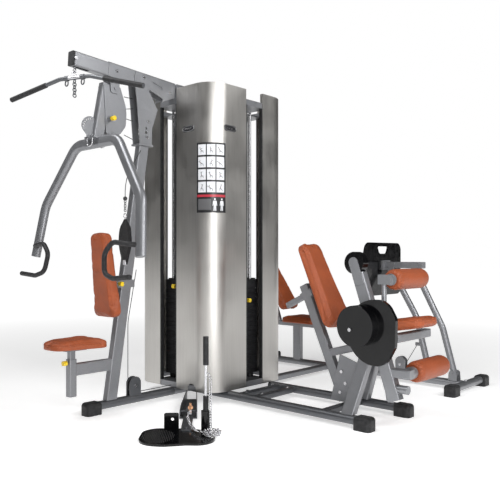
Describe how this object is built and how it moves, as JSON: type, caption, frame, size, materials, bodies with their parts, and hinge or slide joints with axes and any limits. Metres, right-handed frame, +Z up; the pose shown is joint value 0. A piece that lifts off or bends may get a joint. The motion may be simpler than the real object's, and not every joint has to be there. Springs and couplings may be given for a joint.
{
  "type": "multi station home gym",
  "caption": "Multi-station gym: brushed corner-cover weight tower with press and lat arm, low row bar, leg extension and sliding leg press stations.",
  "frame": {"origin": "on the floor, at the centre of the round pad under the middle of the weight tower", "axes": "+Z up; -Y towards the press and lat station; +X towards the leg extension station; the leg press lies on the +Y side"},
  "size_m": [2.3896, 2.9176, 2.2486],
  "materials": {
    "silver_paint": "satin metallic silver-grey powder coat",
    "dark_paint": "satin dark metallic grey powder coat",
    "steel_cover": "vertically brushed",
    "chrome": "polished",
    "cast_plate": "black enamel",
    "black_gloss": "high gloss",
    "black_rubber": "matt, moulded",
    "leather": "terracotta, stitched over foam",
    "knob": "glossy yellow",
    "cable_skin": "nylon coated",
    "placard": "printed",
    "strap_web": "padded nylon"
  },
  "bodies": {
    "frame": {"tower_frame": "silver_paint", "cover_front": "steel_cover", "cover_rear": "steel_cover", "cover_sides": "steel_cover", "guide_rods": "chrome", "resting_plates": "cast_plate", "base_tubes": "dark_paint", "press_upright": "silver_paint", "top_boom": "silver_paint", "gusset_plates": "silver_paint", "row_channel": "dark_paint", "foot_platform": "black_gloss", "row_chain": "chrome", "leg_station_frame": "silver_paint", "leg_seat_pad": "leather", "legpress_frame": "silver_paint", "legpress_seat_pad": "leather", "legpress_back_pad": "leather", "black_caps": "black_rubber", "frame_bolts": "chrome", "info_panels": "placard", "fixed_cables": "cable_skin"},
    "press_lever": {"press_arm": "silver_paint", "press_grips": "black_rubber", "lever_cables": "cable_skin"},
    "arm_pull_pin": {"arm_pin": "knob"},
    "press_weights": {"press_stack": "cast_plate"},
    "press_selector": {"press_pin": "knob"},
    "leg_weights": {"leg_stack": "cast_plate"},
    "leg_selector": {"leg_pin": "knob"},
    "legpress_weights": {"legpress_stack": "cast_plate"},
    "legpress_selector": {"legpress_pin": "knob"},
    "row_weights": {"row_stack": "cast_plate"},
    "row_selector": {"row_pin": "knob"},
    "lat_handle": {"lat_bar": "chrome", "lat_grips": "black_rubber", "lat_cable": "cable_skin"},
    "boom_wheel": {"boom_pulley": "black_gloss"},
    "low_wheel": {"low_pulley": "black_gloss"},
    "legpress_wheel": {"legpress_pulley": "black_gloss"},
    "press_seat": {"press_seat_pad": "leather", "press_seat_post": "silver_paint"},
    "seat_pull_pin": {"seat_pin": "knob"},
    "press_back": {"press_back_pad": "leather", "press_back_slide": "silver_paint"},
    "back_pull_pin": {"back_pin": "knob"},
    "hanging_strap": {"ab_strap": "strap_web"},
    "row_handle": {"row_bar": "chrome", "row_grips": "black_rubber"},
    "leg_lever": {"leg_arm": "silver_paint", "leg_cam_cover": "black_gloss"},
    "shin_pad": {"shin_roller": "leather"},
    "thigh_pad": {"thigh_roller": "leather"},
    "leg_back": {"leg_back_pad": "leather", "leg_back_slide": "silver_paint"},
    "front_link": {"legpress_front_arm": "silver_paint"},
    "rear_link": {"legpress_rear_arm": "silver_paint", "legpress_cable": "cable_skin"},
    "carriage": {"legpress_coupler": "silver_paint", "foot_plate": "black_gloss"}
  },
  "joints": [
    {"name": "press_lever_hinge", "type": "hinge", "parent": "frame", "child": "press_lever", "pos_m": [0, -0.905, 2.07], "axis": [-1, 0, 0], "range_deg": [0, 22], "deforming": ["lever_cables"]},
    {"name": "arm_pin_pull", "type": "slide", "parent": "press_lever", "child": "arm_pull_pin", "axis": [1, 0, 0], "range_m": [0, 0.012], "stiffness_N_per_m": 600},
    {"name": "press_stack_lift", "type": "slide", "parent": "frame", "child": "press_weights", "axis": [0, 0, 1], "range_m": [0, 0.8]},
    {"name": "press_pin_pull", "type": "slide", "parent": "press_weights", "child": "press_selector", "axis": [0, -1, 0], "range_m": [0, 0.045]},
    {"name": "leg_stack_lift", "type": "slide", "parent": "frame", "child": "leg_weights", "axis": [0, 0, 1], "range_m": [0, 0.8]},
    {"name": "leg_pin_pull", "type": "slide", "parent": "leg_weights", "child": "leg_selector", "axis": [1, 0, 0], "range_m": [0, 0.045]},
    {"name": "legpress_stack_lift", "type": "slide", "parent": "frame", "child": "legpress_weights", "axis": [0, 0, 1], "range_m": [0, 0.8]},
    {"name": "legpress_pin_pull", "type": "slide", "parent": "legpress_weights", "child": "legpress_selector", "axis": [0, 1, 0], "range_m": [0, 0.045]},
    {"name": "row_stack_lift", "type": "slide", "parent": "frame", "child": "row_weights", "axis": [0, 0, 1], "range_m": [0, 0.8]},
    {"name": "row_pin_pull", "type": "slide", "parent": "row_weights", "child": "row_selector", "axis": [-1, 0, 0], "range_m": [0, 0.045]},
    {"name": "lat_bar_pull", "type": "slide", "parent": "frame", "child": "lat_handle", "axis": [0, 0, 1], "range_m": [-0.35, 0], "stiffness_N_per_m": 60, "springref_m": 1.4, "deforming": ["lat_cable"]},
    {"name": "boom_wheel_turn", "type": "hinge", "parent": "frame", "child": "boom_wheel", "pos_m": [0, -1.146, 2.20024], "axis": [1, 0, 0], "continuous": true},
    {"name": "low_wheel_turn", "type": "hinge", "parent": "frame", "child": "low_wheel", "pos_m": [0, -0.728, 0.136], "axis": [1, 0, 0], "continuous": true},
    {"name": "legpress_wheel_turn", "type": "hinge", "parent": "frame", "child": "legpress_wheel", "pos_m": [0.915, 1.2, 0.14], "axis": [0, 1, 0], "continuous": true},
    {"name": "seat_height", "type": "slide", "parent": "frame", "child": "press_seat", "axis": [0, 0, 1], "range_m": [0, 0.105]},
    {"name": "seat_pin_pull", "type": "slide", "parent": "frame", "child": "seat_pull_pin", "axis": [0, -1, 0], "range_m": [0, 0.012], "stiffness_N_per_m": 600},
    {"name": "press_back_depth", "type": "slide", "parent": "frame", "child": "press_back", "axis": [0, -1, 0], "range_m": [0, 0.06]},
    {"name": "back_pin_pull", "type": "slide", "parent": "frame", "child": "back_pull_pin", "axis": [1, 0, 0], "range_m": [0, 0.012], "stiffness_N_per_m": 600},
    {"name": "strap_swing", "type": "hinge", "parent": "frame", "child": "hanging_strap", "pos_m": [0.052, -0.836, 1.264], "axis": [0, -1, 0], "range_deg": [0, 60]},
    {"name": "row_bar_lift", "type": "slide", "parent": "frame", "child": "row_handle", "axis": [0, 0, 1], "range_m": [0, 0.11]},
    {"name": "leg_lever_hinge", "type": "hinge", "parent": "frame", "child": "leg_lever", "pos_m": [1.55, -0.2, 0.572], "axis": [0, -1, 0], "range_deg": [0, 75]},
    {"name": "shin_roller_turn", "type": "hinge", "parent": "leg_lever", "child": "shin_pad", "pos_m": [1.722, 0.06, 0.35], "axis": [0, 1, 0], "continuous": true},
    {"name": "thigh_roller_turn", "type": "hinge", "parent": "frame", "child": "thigh_pad", "pos_m": [1.588, 0.06, 0.862], "axis": [0, 1, 0], "continuous": true},
    {"name": "leg_back_depth", "type": "slide", "parent": "frame", "child": "leg_back", "axis": [0.8988, 0, 0.4384], "range_m": [-0.05, 0.06]},
    {"name": "front_link_hinge", "type": "hinge", "parent": "frame", "child": "front_link", "pos_m": [1.355, 1.2, 0.118], "axis": [0, 1, 0], "range_deg": [0, 30]},
    {"name": "carriage_pivot", "type": "hinge", "parent": "front_link", "child": "carriage", "pos_m": [1.045, 1.2, 0.868], "axis": [0, 1, 0], "range_deg": [-30, 0]},
    {"name": "rear_link_hinge", "type": "hinge", "parent": "frame", "child": "rear_link", "pos_m": [1.15, 1.2, 0.118], "axis": [0, 1, 0], "range_deg": [0, 30], "deforming": ["legpress_cable"]}
  ],
  "couplings": [
    {"joint": "press_stack_lift", "follows": "press_lever_hinge", "m_per_rad": 0.6},
    {"joint": "leg_stack_lift", "follows": "leg_lever_hinge", "m_per_rad": 0.35},
    {"joint": "legpress_stack_lift", "follows": "front_link_hinge", "m_per_rad": 0.7},
    {"joint": "carriage_pivot", "follows": "front_link_hinge", "ratio": -1},
    {"joint": "rear_link_hinge", "follows": "front_link_hinge", "ratio": 1}
  ]
}
